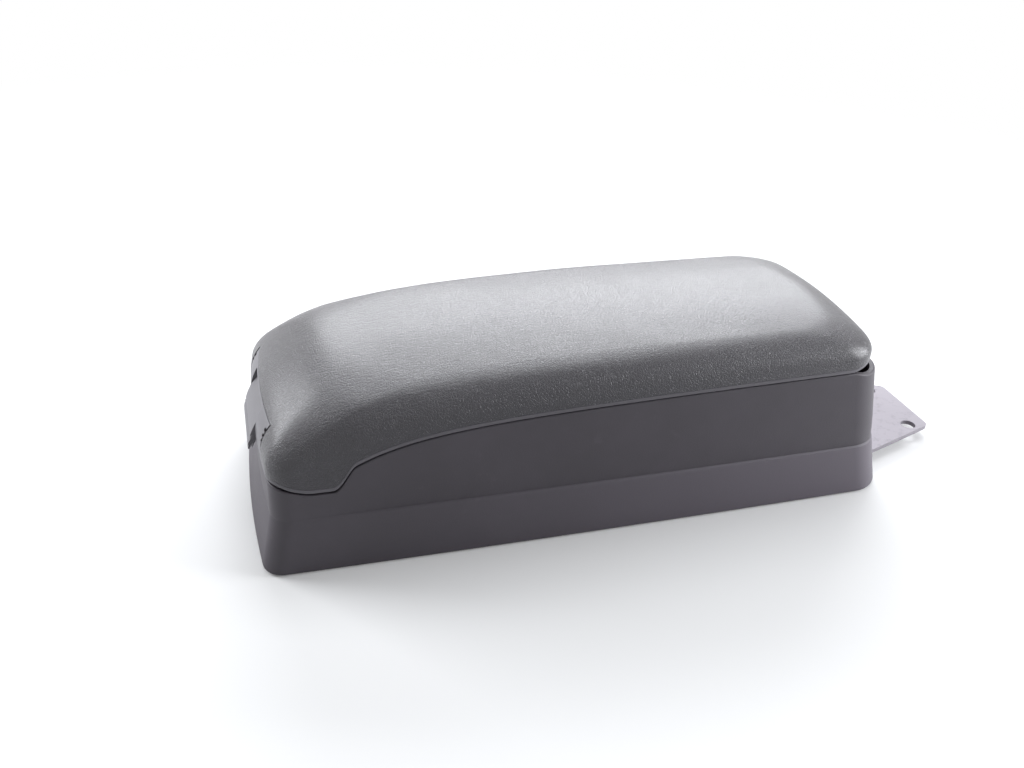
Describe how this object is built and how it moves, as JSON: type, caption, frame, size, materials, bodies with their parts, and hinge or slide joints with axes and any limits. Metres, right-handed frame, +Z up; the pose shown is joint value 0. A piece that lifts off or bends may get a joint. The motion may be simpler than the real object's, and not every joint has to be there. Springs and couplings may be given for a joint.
{
  "type": "car armrest",
  "caption": "Padded centre armrest with a hinged lid over a storage tub, a lift-up latch and a drilled mounting tongue at the rear.",
  "frame": {"origin": "middle of the housing's foot, on the plane it stands on", "axes": "+X towards the mounting tongue at the rear, +Y across the lid, +Z up"},
  "size_m": [0.3886, 0.1294, 0.0954],
  "materials": {
    "housing_plastic": "fine grained moulded plastic",
    "liner_plastic": "matt moulded plastic",
    "mat_rubber": "ribbed rubber",
    "screw_steel": "zinc plated",
    "bracket_steel": "light grey coated steel",
    "hinge_steel": "zinc plated pressed steel",
    "bush_nylon": "natural nylon",
    "pin_steel": "ground steel",
    "lid_plastic": "fine grained moulded plastic",
    "foam": "moulded foam",
    "lid_skin": "grained synthetic leather with a slight sheen",
    "latch_plastic": "smooth matt moulded plastic"
  },
  "bodies": {
    "housing": {"console_box": "housing_plastic", "bin_liner": "liner_plastic", "bin_mat": "mat_rubber", "liner_screws": "screw_steel", "mount_bracket": "bracket_steel", "bracket_screws": "screw_steel", "striker": "hinge_steel", "striker_screws": "screw_steel", "hinge_bracket": "hinge_steel", "hinge_bracket_screws": "screw_steel", "hinge_bushes": "bush_nylon"},
    "lid": {"hinge_pin": "pin_steel", "hinge_leaf": "hinge_steel", "hinge_leaf_screws": "screw_steel", "lid_shell": "lid_plastic", "lid_foam": "foam", "lid_cover": "lid_skin", "lid_inner_panel": "liner_plastic", "lid_screws": "screw_steel", "bump_stops": "mat_rubber", "latch_bezel": "latch_plastic", "bezel_screws": "screw_steel", "latch_pin": "pin_steel", "latch_spring": "pin_steel"},
    "latch": {"latch_handle": "latch_plastic"}
  },
  "joints": [
    {"name": "lid_hinge", "type": "hinge", "parent": "housing", "child": "lid", "pos_m": [0.141, 0, 0.078], "axis": [0, 1, 0], "range_deg": [0, 92]},
    {"name": "latch_pivot", "type": "hinge", "parent": "lid", "child": "latch", "pos_m": [-0.1455, 0, 0.0615], "axis": [0, 1, 0], "range_deg": [0, 9], "stiffness_Nm_per_rad": 0.06}
  ]
}
